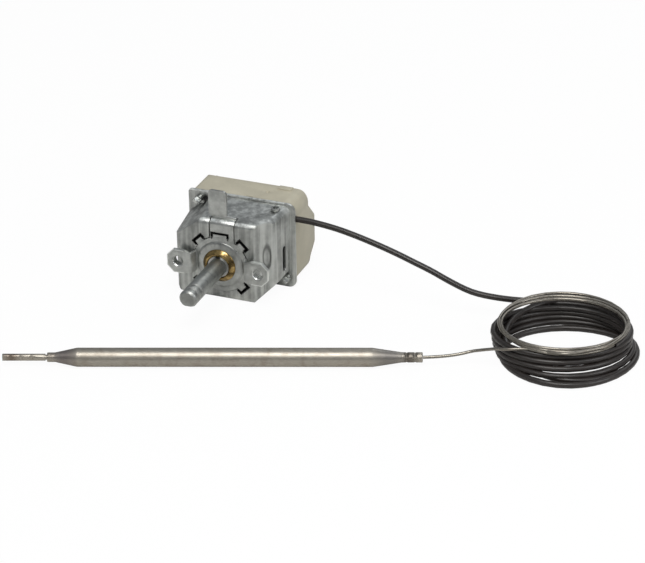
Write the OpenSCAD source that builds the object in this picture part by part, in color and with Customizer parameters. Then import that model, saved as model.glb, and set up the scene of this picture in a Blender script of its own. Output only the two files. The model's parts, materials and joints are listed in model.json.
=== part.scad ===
// Bulb and capillary thermostat with a D shaft, a pressed steel cover and a moulded base.
// Origin: on the shaft axis, in the face of the two ears that meets the panel.
// X runs to the right and Y away from the person at the knob. Z points up.

/* [Panel fixing] */
// Distance between the two tapped holes in the ears
ear_pitch = 28; // [26:0.5:30]
// Core diameter of the tapped holes
ear_hole_d = 3.3; // [2.8:0.1:3.6]
// Height of each ear
ear_h = 8.2; // [7:0.1:10]
// Metal beyond the hole centre at the end of each ear
ear_end = 3.7; // [3:0.1:4.5]
// Thickness of the bracket sheet
bracket_t = 1.2; // [1:0.1:1.4]
// Depth of the drawn collar behind each tapped hole
ear_collar = 1.4; // [0.8:0.1:1.6]

/* [Shaft] */
// Diameter of the shaft
shaft_d = 6; // [5:0.1:6.4]
// Length of the shaft in front of the panel face
shaft_len = 23.5; // [15:0.5:40]
// Distance from the flat to the opposite side of the shaft
shaft_flat = 5.2; // [4.4:0.1:5.4]
// Length of the flat, from the tip
flat_len = 14.5; // [8:0.5:20]
// Width of each of the two grooves near the tip
tip_groove = 0.9; // [0.4:0.1:1.2]
// Angle that the shaft turns between its stops
shaft_turn = 270; // [180:5:300]

/* [Bush] */
// Outer diameter of the domed bush head
bush_head_d = 11.3; // [10.6:0.1:12]
// Diameter of the bush body that passes through the sheets
bush_body_d = 9.4; // [8.8:0.1:9.8]
// Diameter of the recess in the front of the bush
bush_recess_d = 7.9; // [7.7:0.1:8.4]
// Bush standing in front of the ring plate
bush_proud = 2.1; // [1.8:0.1:2.4]

/* [Cover] */
// Distance from the panel face back to the cover's face
cover_gap = 3; // [2.8:0.1:4]
// Depth of the drawn cover, face to flange
cover_depth = 15.8; // [15:0.1:18]
// Thickness of the cover sheet
sheet_t = 0.8; // [0.6:0.05:1]
// Flange edge to the left of the shaft axis
flange_left = 17.9; // [17.7:0.1:19]
// Flange edge to the right of the shaft axis
flange_right = 19.6; // [19:0.1:21]
// Flange edge below the shaft axis
flange_low = 13; // [13:0.1:14]
// Flange edge above the shaft axis
flange_high = 17.1; // [16.8:0.1:18]
// Left wall of the cover at its face
face_left = 16.3; // [15.8:0.1:16.6]
// Right wall of the cover at its face
face_right = 15.6; // [15.2:0.1:16]
// Top wall of the cover at its face
face_high = 15.3; // [14.8:0.1:15.6]
// Width of the slanting strip between the face and the right wall
corner_cut_w = 4.5; // [3.6:0.1:4.8]
// Depth of that strip, from the face back
corner_cut_d = 6; // [5:0.1:8]
// Height of the slot in the right wall
side_slot_h = 8.9; // [6:0.1:10]
// Width of the slot in the right wall
side_slot_w = 2; // [1.2:0.1:2.4]

/* [Ring plate] */
// Diameter of the round seat of the bracket
ring_d = 19.2; // [18.6:0.1:19.6]
// Diameter of the dished collar round the bush
dish_d = 16.2; // [15:0.1:16.6]
// Height of the dished collar
dish_h = 0.8; // [0.5:0.1:1]
// Width of the four slanting hook tongues
tongue_w = 3; // [2.4:0.1:3.2]
// Reach of the slanting tongues from the shaft axis
tongue_reach = 11.2; // [10.8:0.1:11.6]
// Width of the upper tongue
top_tongue_w = 5; // [4.4:0.1:5.4]
// Gap round each tongue
window_gap = 0.55; // [0.4:0.05:0.7]
// Gap between the bracket and the edge of its pressed seat
seat_edge = 0.2; // [0.15:0.05:0.4]

/* [Earth tab] */
// Width of the earth tab
tab_w = 6.3; // [6:0.1:6.6]
// Thickness of the earth tab
tab_t = 0.8; // [0.7:0.1:1]
// Top of the earth tab above the shaft axis
tab_top = 25; // [22:0.5:28]
// Left edge of the strip that carries the tab
arm_left = 3.3; // [3:0.1:3.4]
// Right edge of the strip that carries the tab
arm_right = 4.9; // [4.4:0.1:5.2]

/* [Base] */
// Depth of the base at its top, behind the flange
base_depth = 12.2; // [11:0.1:13]
// Further depth of the middle of the base, at its back
block_depth = 5.2; // [4.8:0.1:8]
// Corner radius of the base
base_corner = 4.5; // [2:0.1:5]
// Base set in from the flange at the left and right
base_inset = 0.4; // [0.2:0.1:1]
// Wall thickness round the switch chamber
base_wall = 3; // [2.5:0.1:3.5]
// Thickness of the rear cover of the switch chamber
rear_cover_t = 2; // [1.6:0.1:2.4]

/* [Sensing system] */
// Diameter of the diaphragm capsule
capsule_d = 22; // [18:0.5:23]
// Thickness of the diaphragm capsule at its rim
capsule_rim = 1; // [0.8:0.1:1.2]
// Distance the adjusting screw moves in one turn
screw_lead = 0.75; // [0.5:0.05:1]
// Outer diameter of the bare capillary
capillary_d = 1; // [0.8:0.1:1.2]
// Outer diameter of the sleeve on the capillary
sleeve_d = 2; // [1.8:0.1:2.2]
// Diameter of the bulb
bulb_d = 6; // [5:0.1:6]
// Length of the bulb's straight body
bulb_len = 92; // [80:0.5:100]
// Taper at the capillary end of the bulb
bulb_taper = 9.2; // [6:0.1:10]
// Crimped neck at the capillary end of the bulb
bulb_neck = 6.4; // [6:0.1:7]
// Diameter of the crimped neck
bulb_neck_d = 3.2; // [2.8:0.1:3.6]
// Length of the flattened filling tube
fill_len = 14; // [10:0.1:15]

/* [Switch] */
// Width of each terminal blade
blade_w = 6.3; // [5.6:0.1:6.6]
// Thickness of each terminal blade
blade_t = 0.8; // [0.6:0.1:0.9]
// Length of each terminal blade behind the rear cover
blade_len = 7.8; // [6:0.1:9]
// Distance between the two terminal blades
blade_pitch = 15; // [14.6:0.1:15.4]
// Thickness of the moving contact spring
spring_t = 0.3; // [0.2:0.05:0.4]
// Diameter of the push pin
pin_d = 2.4; // [2:0.1:2.8]
// Travel of the push pin
pin_travel = 0.4; // [0.2:0.05:0.5]

/* [Hidden] */
$fn = 48;

// Clearances and small features
run_fit = 0.05;
seat_gap = 0.1;
past = 1;
edge_r = 0.4;

// Places along Y, from the panel face back
shaft_r = shaft_d / 2;
seat_y = cover_gap + 0.9;
plate_y = seat_y - bracket_t;
seat_back = seat_y + sheet_t;
flange_y = cover_gap + cover_depth;
base_y = flange_y + sheet_t;
base_top_y = base_y + base_depth;
base_back_y = base_top_y + block_depth;

// Bush and what runs in it
bush_front = plate_y - bush_proud;
bush_bore_r = shaft_r + run_fit;
bush_recess_r = bush_recess_d / 2;
bush_shoulder = bush_front + 0.9;
bush_flare_r = bush_body_d / 2 + 0.7;
bush_back = seat_back + 1;
ring_t = 0.6;
washer_y = bush_back + seat_gap;
washer_t = 0.5;
washer_r = bush_flare_r;
disc_y = washer_y + washer_t;
disc_t = 1;
disc_r = 5;
stop_r = 6.4;
stop_pin_r = 0.8;
lug_reach = 7.6;
clip_y = disc_y + disc_t;
clip_t = 0.6;
clip_r = 4.6;
groove_r = shaft_r - 0.7;
shaft_end = clip_y + clip_t + 1;

// The broad lug leaves the stop pin just the shaft's turn between its two sides
lug_half = (360 - shaft_turn) / 2 - asin((stop_pin_r + seat_gap) / stop_r) - 0.5;
lug_mid = 90 + (360 - shaft_turn) / 2;

// Yoke, nut and spindle
yoke_y = shaft_end + 0.8;
yoke_t = 1.2;
yoke_half = 10.5;
yoke_foot = 15;
yoke_h = 9;
nut_r = 4.2;
nut_neck_r = 3.4;
nut_len = 3.4;
nut_y = yoke_y - 0.6;
spindle_r = 2.5;
travel = screw_lead * shaft_turn / 360;
tang_w = 1.5;
slot_w = tang_w + 2 * seat_gap;
tang_len = 1.6;
slot_floor = shaft_end - tang_len - travel - 0.4;
spindle_front = shaft_end + travel + 0.25;
spindle_end = nut_y + nut_len + travel + 0.2;

// Capsule
stud_r = 1.8;
stud_y = spindle_end + 0.2;
capsule_r = capsule_d / 2;
capsule_y = stud_y + 1.5;
shell_dish = 0.7;
shell_flat_r = capsule_r - 2.2;
shell_back = capsule_y + 2 * shell_dish + capsule_rim;
button_r = 2.2;
button_y = shell_back + 0.05;
button_t = 1;
pin_r = pin_d / 2;
pin_y = button_y + button_t + 0.05;

// Wave washer
wave_t = 0.3;
wave_flat = 0.8;
wave_out = capsule_r - 1.2;
wave_in = wave_out - 3.6;

// Base levels
leaf_h = 5;
recess_r = capsule_r + 1.2;
recess_y = max(shell_back + 1.6, base_y + 1.2);
web_t = 3;
chamber_y = recess_y + web_t;
chamber_back = base_back_y - rear_cover_t;
rivet_x = blade_pitch / 2 + 2.7;
rivet_shank = 0.9;
rivet_in = 1.8;
side_slot_in = 4;
foot_reach = rivet_x + rivet_shank + 0.9;
ledge = 0.6;
chamber_half = foot_reach + ledge + 0.4;
chamber_h = max(blade_w, leaf_h) / 2 + ledge + 0.85;
block_high = 5.5;
block_low = 4.3;
slope_high = 11;
slope_low = 8.2;
base_low_y = base_top_y + 0.4;
base_r = base_corner;
base_left = flange_left - base_inset;
base_right = flange_right - base_inset - 0.2;
pad_w = 4.6;
pad_y = base_top_y - 3.6;
pad_d = 2.4;

// Contact system
foot_t = 1.4;
contact_x = 5;
contact_r = 1.2;
contact_t = 0.6;
pin_end = chamber_y + foot_t + 2 * contact_t;
leaf_y = pin_end + 0.05;
pivot_x = -6.4;
blade_x = blade_pitch / 2;
leaf_end = 6.2;
blade_hole_in = 3.4;
blade_hole_r = 0.85;

// Corner studs that hold the cover to the base
stud_tl = [-13.8, 14.4];
stud_br = [16.8, -9.4];
fix_r = 1.1;
fix_out = 3.6;
head_r = 1.7;
head_t = 0.8;
rivet_at = [14.4, flange_y - 3.6];
rivet_r = 1.4;

// Top left facet of the cover
facet_at = [-14, 12.2];
facet_turn = -38;
facet_lean = 8;
low_cut = 7.3;
low_cut_x = 10.6;

// Oval dimple in the slanting strip
dimple_x = 5.3;
dimple_z = 3;
dimple_w = 2.6;
dimple_h = 7.6;
dimple_t = 0.3;

// Exit of the capillary
exit_z = 11.2;
exit_y = base_y + sleeve_d / 2 + seat_gap;
exit_in = 14;
notch_r = sleeve_d / 2 + seat_gap;

// Where the bulb lies
floor_z = -flange_low;
bulb_at = [18.4, -37];
bulb_turn = 20.2;
bulb_r = bulb_d / 2;
left_taper = 6.9;
collar_len = 2.4;
collar_r = 1.5;
fill_r = 1.1;

// Route of the sleeved lead, from inside the base to the coil
LEAD = [
    [exit_in, exit_y, exit_z], [exit_in + 5, exit_y, exit_z], [exit_in + 11, exit_y + 0.1, 11],
    [33, exit_y + 0.1, 10.1], [41, exit_y - 0.2, 8.6], [49, 20.1, 6.7], [55.6, 19.7, 4.9], [61, 19.1, 3.4], [66.5, 18.9, 1.6], [72.5, 19, -1],
    [78.5, 19.4, -3.4], [83, 20, -4.5], [88, 21.2, -5.3], [92, 22.6, -5.9], [95.8, 24, -6.3]
];

// Route of the bare capillary from the bulb to the coil
TAIL = [
    [76.3, -15.7, -10], [80, -14.1, -9.9], [83.8, -12.5, -9.6], [87.3, -11, -9],
    [90, -9.8, -8.3], [92.8, -9.3, -7.6], [95.5, -9.3, -6.8], [98, -9.4, -6.1],
    [102, -9.6, -5.4]
];

// Coil: an upper and a lower ring, set a little apart
coil_top_at = [113.7, 9.6];
coil_low_at = [117.4, 4.6];
coil_out = 21.6;
coil_in = 17.6;
coil_mid_z = floor_z + 5.6;
coil_top_z = floor_z + 11;

zinc = [0.66, 0.68, 0.7];
steel = [0.62, 0.62, 0.6];
brass = [0.8, 0.62, 0.3];
copper = [0.75, 0.5, 0.35];
cream = [0.78, 0.75, 0.66];
ceramic = [0.9, 0.89, 0.86];
silver = [0.82, 0.82, 0.82];
sleeve_brown = [0.16, 0.13, 0.12];
stainless = [0.6, 0.57, 0.53];

// Corner points with their radius as the third number become an outline with round corners
function unit(v) = v / norm(v);
function turned(v, a) = [v[0] * cos(a) - v[1] * sin(a), v[0] * sin(a) + v[1] * cos(a)];
function fillet(a, b, c, r, n) =
    let (
        u = unit(a - b),
        w = unit(c - b),
        half = acos(u * w) / 2,
        mid = b + unit(u + w) * r / sin(half),
        p = b + u * r / tan(half) - mid,
        q = b + w * r / tan(half) - mid,
        side = sign(p[0] * q[1] - p[1] * q[0])
    )
    [for (i = [0 : n]) mid + turned(p, side * (180 - 2 * half) * i / n)];
function flat2(p) = [p[0], p[1]];
function rounded(pts, n = 6) =
    let (m = len(pts))
    [for (i = [0 : m - 1])
        let (b = pts[i])
        each (b[2] > 0
            ? fillet(flat2(pts[(i + m - 1) % m]), flat2(b), flat2(pts[(i + 1) % m]), b[2], n)
            : [flat2(b)])];

// A cylinder along Y from one place to another
module rod(r, y0, y1) {
    translate([0, y0, 0])
        rotate([-90, 0, 0])
            cylinder(r = r, h = y1 - y0);
}

// A profile of [radius, y] points turned about the Y axis
module turned_about_y(pts) {
    rotate([-90, 0, 0])
        rotate_extrude()
            polygon(pts);
}

// An outline in X and Z, extruded along Y
module plate_xz(pts, y0, y1) {
    translate([0, y1, 0])
        rotate([90, 0, 0])
            linear_extrude(height = y1 - y0)
                polygon(pts);
}

// An outline in Y and Z, extruded along X
module slab_yz(pts, x0, x1) {
    translate([x0, 0, 0])
        rotate([90, 0, 90])
            linear_extrude(height = x1 - x0)
                polygon(pts);
}

// A block between two corners
module block(a, b) {
    translate(a)
        cube(b - a);
}

// The form of the drawn cover, set in by t for the inside of its walls
// Right wall where the slanting strip of the corner meets it
side_x = face_right + (flange_right - 1.7 - face_right) * corner_cut_d / cover_depth;
corner_turn = atan(corner_cut_d / (side_x - face_right + corner_cut_w));

module cover_form(t) {
    far = flange_y + (t > 0 ? past + sheet_t : 0);
    intersection() {
        translate([0, 0, -2 * flange_low])
            linear_extrude(height = 2 * (flange_low + flange_high))
                polygon(rounded([
                    [-face_left + t, cover_gap + t, 3.2 - t],
                    [face_right - corner_cut_w - 0.45 * t, cover_gap + t, 2 - t],
                    [side_x - t, cover_gap + corner_cut_d + 0.4 * t, 2.4 - t],
                    [flange_right - 1.7 - t, far, 0],
                    [-flange_left + 0.5 + t, far, 0]
                ]));
        slab_yz(rounded([
            [cover_gap + t, -flange_low + 0.2 + t, 1.8 - t],
            [far, -flange_low + t, 0],
            [far, flange_high - 0.9 - t, 0],
            [cover_gap + t, face_high - t, 2.2 - t]
        ]), -2 * flange_left, 2 * flange_right);
        plate_xz(rounded([
            [-flange_left + t, -flange_low + t, 4.6 - t],
            [low_cut_x - t / 2, -flange_low + t, 2],
            [low_cut_x + low_cut, -flange_low + low_cut - 0.6 + t / 2, 2],
            [flange_right - t, flange_high - t, 0],
            [-flange_left + t, flange_high - t, 0]
        ]), 0, far);
        edge_side(face_right, flange_right - 1.7, face_high, flange_high - 0.9, 3.2, t);
        edge_side(-face_left, -flange_left + 0.5, -flange_low + 0.2, -flange_low, 4.6, t);
        facet_side(t);
    }
}

// All space on the inner side of a round edge that runs back from the face to the flange
module edge_side(x0, x1, z0, z1, r, t) {
    span = 60;
    sx = sign(x0);
    sz = sign(z0);
    out = 0.3 - t;
    translate([x0, cover_gap, z0])
        rotate([atan((z1 - z0) / cover_depth), 0, -atan((x1 - x0) / cover_depth)])
            plate_xz(rounded([
                [sx * out, sz * out, r - t], [-sx * span, sz * out, 0],
                [-sx * span, -sz * span, 0], [sx * out, -sz * span, 0]
            ]), -span / 2, span / 2);
}

// All space on the inner side of the slanting top left facet
module facet_side(t) {
    span = 60;
    translate([facet_at[0], flange_y, facet_at[1]])
        rotate([0, facet_turn, 0])
            rotate([facet_lean, 0, 0])
                translate([-span, -span, -span - t])
                    cube([2 * span, 2 * span, span]);
}

// Outline of the ring plate with its strip, ears' necks and tongues; g grows it for its seat
module tongue(angle, w, reach, y0, y1, root = 1.2) {
    rotate([0, -angle, 0])
        block([ring_d / 2 - root, y0, -w / 2], [reach, y1, w / 2]);
}

module seat_shape(y0, y1, g) {
    rod(ring_d / 2 + g, y0, y1);
    block([-arm_left - g, y0, 0], [arm_right + g, y1, arm_z]);
}

module windows(y0, y1) {
    for (a = [45 : 90 : 315])
        tongue(a, tongue_w + 2 * window_gap, tongue_reach + window_gap, y0, y1);
    tongue(90, top_tongue_w + 2 * window_gap, top_reach() + window_gap, y0, y1);
}

function top_reach() = ring_d / 2 + 1;

module front_cover() color(zinc) {
    wall_in = cover_gap + sheet_t;
    difference() {
        union() {
            cover_form(0);
            // Flange
            plate_xz(rounded([
                [-flange_left, -flange_low, 4],
                [flange_right, -flange_low, 2.5],
                [flange_right, flange_high, 2.6],
                [-flange_left, flange_high, 1.2]
            ]), flange_y, flange_y + sheet_t);
        }
        // Hollow inside, less the back of the pressed seat
        difference() {
            cover_form(sheet_t);
            seat_shape(0, seat_back, sheet_t + seat_edge);
            block([-arm_left - sheet_t - window_gap, 0, arm_z - sheet_t],
                  [arm_right + sheet_t + seat_edge, channel_y + sheet_t, face_high + past]);
        }
        // Pressed seat of the bracket
        rod(ring_d / 2 + seat_edge, 0, seat_y);
        slab_yz(rounded([
            [0, 0, 0], [seat_y, 0, 0], [seat_y, arm_z, 0.9], [channel_y, arm_z, 0],
            [channel_y, flange_high + past, 0], [0, flange_high + past, 0]
        ]), -arm_left - window_gap, arm_right + seat_edge);
        windows(0, seat_back + past);
        rod(bush_body_d / 2 + seat_gap, 0, seat_back + past);
        // Slot in the right wall
        translate([0, flange_y - side_slot_in, -0.7])
            slab_yz(rounded([
                [-side_slot_w / 2, -side_slot_h / 2, side_slot_w / 2 - 0.05],
                [side_slot_w / 2, -side_slot_h / 2, side_slot_w / 2 - 0.05],
                [side_slot_w / 2, side_slot_h / 2, side_slot_w / 2 - 0.05],
                [-side_slot_w / 2, side_slot_h / 2, side_slot_w / 2 - 0.05]
            ]), face_right - 2, flange_right);
        // Holes for the studs and the rivet
        for (p = [stud_tl, stud_br])
            translate([p[0], 0, p[1]])
                rod(fix_r + seat_gap, flange_y - past, flange_y + sheet_t + past);
        translate([rivet_at[0], rivet_at[1], 0])
            cylinder(r = rivet_r - 0.4, h = flange_high + past);
        // Scallop beside the upper stud
        translate([stud_tl[0], 0, stud_tl[1]])
            rod(fix_r + 1, flange_y - 7, flange_y);
        // Oval dimple pressed into the slanting strip
        translate([face_right - corner_cut_w, cover_gap, dimple_z])
            rotate([0, 0, corner_turn])
                plate_xz(rounded([
                    [dimple_x - dimple_w / 2, -dimple_h / 2, dimple_w / 2 - 0.05],
                    [dimple_x + dimple_w / 2, -dimple_h / 2, dimple_w / 2 - 0.05],
                    [dimple_x + dimple_w / 2, dimple_h / 2, dimple_w / 2 - 0.05],
                    [dimple_x - dimple_w / 2, dimple_h / 2, dimple_w / 2 - 0.05]
                ]), -past, dimple_t);
    }
}

tab_y = cover_gap + 2.1;
tab_left = 4.6;
arm_z = face_high + 0.3 - bracket_t;
channel_y = tab_y + tab_t + 0.8;

module mounting_bracket() color(zinc) {
    ear_x = ear_pitch / 2;
    neck_x = ring_d / 2 - 0.4;
    neck_h = 3.5;
    cut = 2.2;
    difference() {
        union() {
            rod(ring_d / 2, plate_y, seat_y);
            // Dished collar round the bush
            turned_about_y([
                [bush_body_d / 2, plate_y - dish_h], [bush_head_d / 2 + 0.3, plate_y - dish_h],
                [dish_d / 2 - 0.9, plate_y - 0.85 * dish_h], [dish_d / 2 - 0.2, plate_y - 0.5 * dish_h],
                [dish_d / 2, plate_y - 0.3 * dish_h],
                [dish_d / 2, plate_y + edge_r], [bush_body_d / 2, plate_y + edge_r]
            ]);
            // Hook tongues, bent in through the windows
            for (a = [45 : 90 : 315]) {
                tongue(a, tongue_w, tongue_reach, plate_y + 0.2, seat_y - 0.05);
                rotate([0, -a, 0])
                    block([tongue_reach - bracket_t, plate_y + 0.2, -tongue_w / 2],
                          [tongue_reach, seat_back + 0.6, tongue_w / 2]);
            }
            // Strip up over the edge of the cover, and the tab
            arm_strip();
            // Ears with their joggled necks and drawn collars
            for (s = [-1, 1])
                scale_x(s) {
                    plate_xz(rounded([
                        [neck_x + 0.6, -neck_h, 0], [neck_x + 1.1, -neck_h, 1],
                        [neck_x + 2.4, -ear_h / 2, 1],
                        [ear_x + ear_end, -ear_h / 2, 0.1],
                        [ear_x + ear_end, ear_h / 2, 0.1],
                        [neck_x + 2.4, ear_h / 2, 1],
                        [neck_x + 1.1, neck_h, 1], [neck_x + 0.6, neck_h, 0]
                    ]), 0, bracket_t);
                    slab_z([
                        [neck_x - 1.6, plate_y], [neck_x - 0.7, plate_y], [neck_x - 0.1, 0.3],
                        [neck_x + 0.2, 0], [neck_x + 0.8, 0], [neck_x + 0.8, bracket_t],
                        [neck_x + 0.1, cover_gap - 0.3], [neck_x - 0.7, seat_y],
                        [neck_x - 1.6, seat_y]
                    ], -neck_h, neck_h);
                    translate([ear_x, 0, 0])
                        rod(ear_hole_d / 2 + 0.8, 0, bracket_t + ear_collar);
                }
        }
        // Cut corners of the ears
        for (s = [-1, 1])
            scale_x(s)
                for (v = [-1, 1])
                    translate([ear_x + ear_end - cut, 0, v * ear_h / 2])
                        rotate([0, v * 45, 0])
                            block([-6, -past, v > 0 ? 0 : -6], [6, cover_gap, v > 0 ? 6 : 0]);
        // Tapped holes with their countersinks
        for (s = [-1, 1])
            translate([s * ear_x, 0, 0]) {
                rod(ear_hole_d / 2, -past, cover_gap + past);
                turned_about_y([
                    [0, -edge_r], [ear_hole_d / 2 + 0.35 + edge_r, -edge_r],
                    [ear_hole_d / 2, 0.35], [0, 0.35]
                ]);
            }
        // Bush hole
        rod(bush_body_d / 2 + seat_gap, -past, seat_y + past);
        // Lanced gap round the upper tongue
        difference() {
            tongue(90, top_tongue_w + 2 * window_gap, top_reach() + window_gap, plate_y - past,
                   seat_y + past, 0.8);
            tongue(90, top_tongue_w, top_reach(), plate_y - 2 * past, seat_y + 2 * past, 2);
        }
    }
}

module slab_z(pts, z0, z1) {
    translate([0, 0, z0])
        linear_extrude(height = z1 - z0)
            polygon(pts);
}

module scale_x(s) {
    mirror([s < 0 ? 1 : 0, 0, 0])
        children();
}

// The strip follows the cover's face and top edge, then turns up into the tab
module arm_strip() {
    top_z = arm_z + bracket_t;
    low_z = ring_d / 2 - 2;
    profile = rounded([
        [plate_y + 0.1, low_z, 0], [plate_y + 0.1, top_z, 2],
        [tab_y, top_z, 0], [tab_y, tab_top, 0], [tab_y + tab_t, tab_top, 0],
        [tab_y + tab_t, arm_z, 0.9], [seat_y, arm_z, 0.9],
        [seat_y, low_z, 0]
    ]);
    intersection() {
        slab_yz(profile, -tab_left - past, arm_right);
        plate_xz(rounded([
            [-arm_left, low_z, 0], [arm_right, low_z, 0], [arm_right, top_z + 0.4, 0.6],
            [tab_w - tab_left, top_z + 0.8, 0.4], [tab_w - tab_left, tab_top, 1.2],
            [-tab_left, tab_top, 1.2], [-tab_left, top_z + 0.7, 0.4],
            [-arm_left, top_z + 0.2, 0.2]
        ]), 0, flange_y);
    }
}

module shaft_bush() color(brass) {
    head_r = bush_head_d / 2;
    body_r = bush_body_d / 2;
    dish_y = plate_y - dish_h;
    turned_about_y([
        [bush_recess_r, bush_front], [bush_recess_r + 0.5, bush_front],
        [head_r - 0.55, dish_y - 0.75], [head_r, dish_y - 0.25], [head_r, dish_y],
        [body_r, dish_y], [body_r, seat_back], [bush_flare_r, seat_back],
        [bush_flare_r, bush_back - 0.3], [bush_flare_r - 0.3, bush_back],
        [bush_bore_r, bush_back], [bush_bore_r, bush_shoulder], [bush_recess_r, bush_shoulder]
    ]);
}

module shaft() color(zinc) {
    tip = -shaft_len;
    groove = 0.4;
    difference() {
        union() {
            turned_about_y([
                [0, tip], [shaft_r - 0.6, tip], [shaft_r, tip + 0.7],
                [shaft_r, tip + 2.2], [shaft_r - groove, tip + 2.4],
                [shaft_r - groove, tip + 2.2 + tip_groove], [shaft_r, tip + 2.4 + tip_groove],
                [shaft_r, tip + 4.8], [shaft_r - groove, tip + 5],
                [shaft_r - groove, tip + 4.8 + tip_groove], [shaft_r, tip + 5 + tip_groove],
                [shaft_r, ring_back - ring_t], [groove_r, ring_back - ring_t],
                [groove_r, ring_back], [shaft_r, ring_back], [shaft_r, clip_y],
                [groove_r, clip_y], [groove_r, clip_y + clip_t], [shaft_r, clip_y + clip_t],
                [shaft_r, shaft_end], [0, shaft_end]
            ]);
        }
        // Flat on the underside
        block([-shaft_d, tip - past, -shaft_d], [shaft_d, tip + flat_len, shaft_r - shaft_flat]);
        // Slot that drives the spindle
        block([-slot_w / 2, slot_floor, -shaft_d], [slot_w / 2, shaft_end + past, shaft_d]);
    }
}

ring_back = bush_shoulder - seat_gap;

// A split ring that sits in a groove of the shaft
module split_ring(outer, inner, y0, t, gap) {
    difference() {
        rod(outer, y0, y0 + t);
        rod(inner, y0 - past, y0 + t + past);
        block([-gap / 2, y0 - past, 0], [gap / 2, y0 + t + past, 2 * outer]);
    }
}

module retaining_ring() color(steel) {
    split_ring(bush_recess_r - 0.3, groove_r, ring_back - ring_t, ring_t, 1.6);
}

module thrust_washer() color(steel) {
    difference() {
        rod(washer_r, washer_y, washer_y + washer_t);
        rod(bush_bore_r, washer_y - past, washer_y + washer_t + past);
    }
}

// Disc keyed on the shaft; its lug meets the stop pin at both ends of the turn
module stop_disc() color(zinc) {
    difference() {
        union() {
            rod(disc_r, disc_y, disc_y + disc_t);
            intersection() {
                rod(lug_reach, disc_y, disc_y + disc_t);
                rotate([0, lug_mid, 0])
                    plate_xz(concat([[0, 0]], [for (k = [-1 : 1])
                        2 * lug_reach * [cos(k * lug_half), sin(k * lug_half)]]),
                        disc_y, disc_y + disc_t);
            }
        }
        rod(shaft_r, disc_y - past, disc_y + disc_t + past);
    }
}

module shaft_clip() color(steel) {
    split_ring(clip_r, groove_r, clip_y, clip_t, 2.4);
}

module stop_pin() color(steel) {
    translate([0, 0, -stop_r])
        rod(stop_pin_r, seat_back, disc_y + disc_t + 0.3);
}

module spindle_yoke() color(steel) {
    foot_y = base_y - yoke_t;
    difference() {
        union() {
            plate_xz(rounded([
                [-yoke_half, -yoke_h / 2, 1], [yoke_half, -yoke_h / 2, 1],
                [yoke_half, yoke_h / 2, 1], [-yoke_half, yoke_h / 2, 1]
            ]), yoke_y, yoke_y + yoke_t);
            for (s = [-1, 1])
                scale_x(s)
                    slab_z(rounded([
                        [yoke_half - 2, yoke_y, 0], [capsule_r + 1.8, yoke_y, 1],
                        [capsule_r + 1.8, foot_y, 0.3], [yoke_foot, foot_y, 0],
                        [yoke_foot, base_y, 0], [capsule_r + 0.6, base_y, 1],
                        [capsule_r + 0.6, yoke_y + yoke_t, 0.3], [yoke_half - 2, yoke_y + yoke_t, 0]
                    ]), -yoke_h / 2, yoke_h / 2);
        }
        rod(nut_neck_r, yoke_y - past, yoke_y + yoke_t + past);
    }
}

module spindle_nut() color(brass) {
    turned_about_y([
        [spindle_r + run_fit, nut_y], [nut_r, nut_y], [nut_r, yoke_y],
        [nut_neck_r, yoke_y], [nut_neck_r, yoke_y + yoke_t], [nut_r, yoke_y + yoke_t],
        [nut_r, nut_y + nut_len], [spindle_r + run_fit, nut_y + nut_len]
    ]);
}

module spindle() color(brass) {
    union() {
        turned_about_y([
            [0, spindle_front], [spindle_r, spindle_front], [spindle_r, spindle_end - 0.8],
            [spindle_r - 1, spindle_end], [0, spindle_end]
        ]);
        intersection() {
            block([-tang_w / 2, shaft_end - tang_len, -shaft_r],
                  [tang_w / 2, spindle_front + 0.2, shaft_r]);
            rod(groove_r - seat_gap, 0, shaft_end + 2 * past);
        }
    }
}

module capsule_front() color(stainless) {
    mid = capsule_y + shell_dish;
    turned_about_y([
        [0, stud_y], [stud_r, stud_y], [stud_r, capsule_y], [shell_flat_r, capsule_y],
        [shell_flat_r + 1, mid], [capsule_r, mid], [capsule_r, mid + capsule_rim / 2],
        [0, mid + capsule_rim / 2]
    ]);
}

module capsule_rear() color(stainless) {
    mid = capsule_y + shell_dish + capsule_rim / 2;
    turned_about_y([
        [0, mid], [capsule_r, mid], [capsule_r, mid + capsule_rim / 2],
        [shell_flat_r + 1, mid + capsule_rim / 2], [shell_flat_r, shell_back], [0, shell_back]
    ]);
}

module capsule_button() color(steel) {
    turned_about_y([
        [0, button_y], [button_r, button_y], [button_r, button_y + 0.5],
        [button_r - 0.8, button_y + button_t], [0, button_y + button_t]
    ]);
}

// Brazed stub that joins the capillary to the rim of the capsule
stub_angle = 45;
stub_len = 1.6;
stub_y = capsule_y + shell_dish + capsule_rim / 2;

module capillary_stub() color(steel) {
    rotate([0, -stub_angle, 0])
        translate([capsule_r, stub_y, 0])
            rotate([0, 90, 0])
                cylinder(r = capillary_d / 2 + 0.2, h = stub_len);
}

// Wave washer that keeps the capsule against the spindle
module capsule_spring() color(steel) {
    front = shell_back + 2 * seat_gap;
    turned_about_y([
        [wave_in, front], [wave_in + wave_flat, front],
        [wave_out - wave_flat, recess_y - wave_t], [wave_out, recess_y - wave_t],
        [wave_out, recess_y], [wave_out - 1.5 * wave_flat, recess_y],
        [wave_in + wave_flat / 2, front + wave_t], [wave_in, front + wave_t]
    ]);
}

// Sweeps a closed tube with flat sides along a list of points
function direction(path, i) =
    unit(path[min(i + 1, len(path) - 1)] - path[max(i - 1, 0)]);
function across(d) = unit(cross([0, 0, 1], d));
function ring_at(p, d, r, sides) =
    let (u = across(d), v = cross(d, u))
    [for (k = [0 : sides - 1])
        p + r * cos(360 * k / sides) * u + r * sin(360 * k / sides) * v];

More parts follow.
